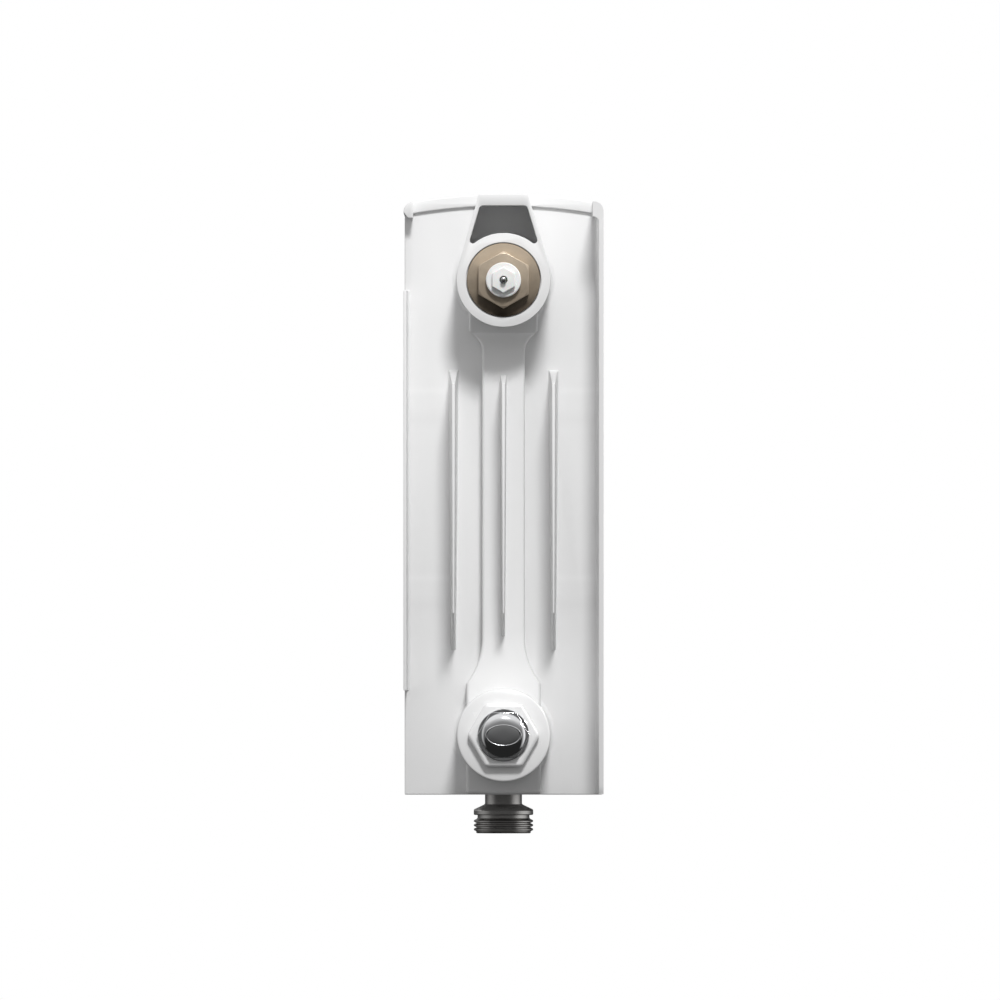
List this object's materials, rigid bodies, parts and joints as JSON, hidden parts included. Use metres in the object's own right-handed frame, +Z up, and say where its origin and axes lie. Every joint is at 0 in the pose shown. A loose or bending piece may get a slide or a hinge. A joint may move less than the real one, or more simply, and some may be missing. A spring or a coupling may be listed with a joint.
{
  "type": "sectional radiator with built-in valve",
  "caption": "Low white sectional radiator with bottom pipe connections and a valve insert in the upper corner.",
  "frame": {"origin": "middle of the length and depth, at the lower end of the pipe connectors", "axes": "+X along the radiator from the valve end to the vent end, +Y from the front panel to the wall, +Z up"},
  "size_m": [0.4352, 0.088, 0.2813],
  "materials": {
    "cast_body": "die-cast aluminium, white powder coat",
    "white_plug": "white enamel on steel",
    "passivated_brass": "machined brass, yellow passivated",
    "nickel_plate": "nickel on brass",
    "chrome_plate": "polished chrome",
    "steel": "bright steel",
    "black_rubber": "moulded rubber",
    "white_plastic": "moulded, smooth",
    "gasket_fibre": "pressed fibre sheet"
  },
  "bodies": {
    "root": {"section_1": "cast_body", "section_2": "cast_body", "section_3": "cast_body", "section_4": "cast_body", "section_5": "cast_body", "upper_nipple_1": "steel", "upper_nipple_2": "steel", "upper_nipple_3": "steel", "upper_nipple_4": "steel", "lower_nipple_1": "steel", "lower_nipple_2": "steel", "lower_nipple_3": "steel", "lower_nipple_4": "steel", "upper_gasket_1": "gasket_fibre", "upper_gasket_2": "gasket_fibre", "upper_gasket_3": "gasket_fibre", "upper_gasket_4": "gasket_fibre", "lower_gasket_1": "gasket_fibre", "lower_gasket_2": "gasket_fibre", "lower_gasket_3": "gasket_fibre", "lower_gasket_4": "gasket_fibre", "flow_separator": "white_plastic", "valve_body": "passivated_brass", "valve_tip_seal": "black_rubber", "gland_ring": "black_rubber", "stem_guide": "passivated_brass", "valve_spring": "steel", "lower_reducing_plug": "white_plug", "lower_reducing_plug_gasket": "gasket_fibre", "blank_plug": "chrome_plate", "blank_plug_seal": "black_rubber", "upper_reducing_plug": "white_plug", "upper_reducing_plug_gasket": "gasket_fibre", "vent_body": "nickel_plate", "vent_body_seal": "black_rubber", "blind_plug": "white_plug", "blind_plug_gasket": "gasket_fibre", "connector_1": "nickel_plate", "connector_2": "nickel_plate", "connector_seal_1": "black_rubber", "connector_seal_2": "black_rubber"},
    "valve_pin": {"valve_pin": "steel", "valve_disc": "black_rubber"},
    "presetting_ring": {"presetting_ring": "white_plastic"},
    "vent_needle_travel": {"vent_needle_seal": "black_rubber"},
    "vent_needle": {"vent_needle": "passivated_brass"},
    "vent_spout": {"vent_spout_ring": "white_plastic"}
  },
  "joints": [
    {"name": "valve_pin_press", "type": "slide", "parent": "root", "child": "valve_pin", "axis": [1, 0, 0], "range_m": [0, 0.0028], "stiffness_N_per_m": 2500, "springref_m": -0.002},
    {"name": "presetting_ring_turn", "type": "hinge", "parent": "root", "child": "presetting_ring", "pos_m": [-0.2018, 0, 0.2435], "axis": [-1, 0, 0], "range_deg": [0, 315]},
    {"name": "vent_needle_rise", "type": "slide", "parent": "root", "child": "vent_needle_travel", "axis": [1, 0, 0], "range_m": [0, 0.0012]},
    {"name": "vent_needle_turn", "type": "hinge", "parent": "vent_needle_travel", "child": "vent_needle", "pos_m": [0.1966, 0, 0.2435], "axis": [1, 0, 0], "range_deg": [0, 540]},
    {"name": "vent_spout_turn", "type": "hinge", "parent": "root", "child": "vent_spout", "pos_m": [0.1966, 0, 0.2435], "axis": [1, 0, 0], "continuous": true}
  ],
  "couplings": [
    {"joint": "vent_needle_turn", "follows": "vent_needle_rise", "rad_per_m": 7853}
  ]
}
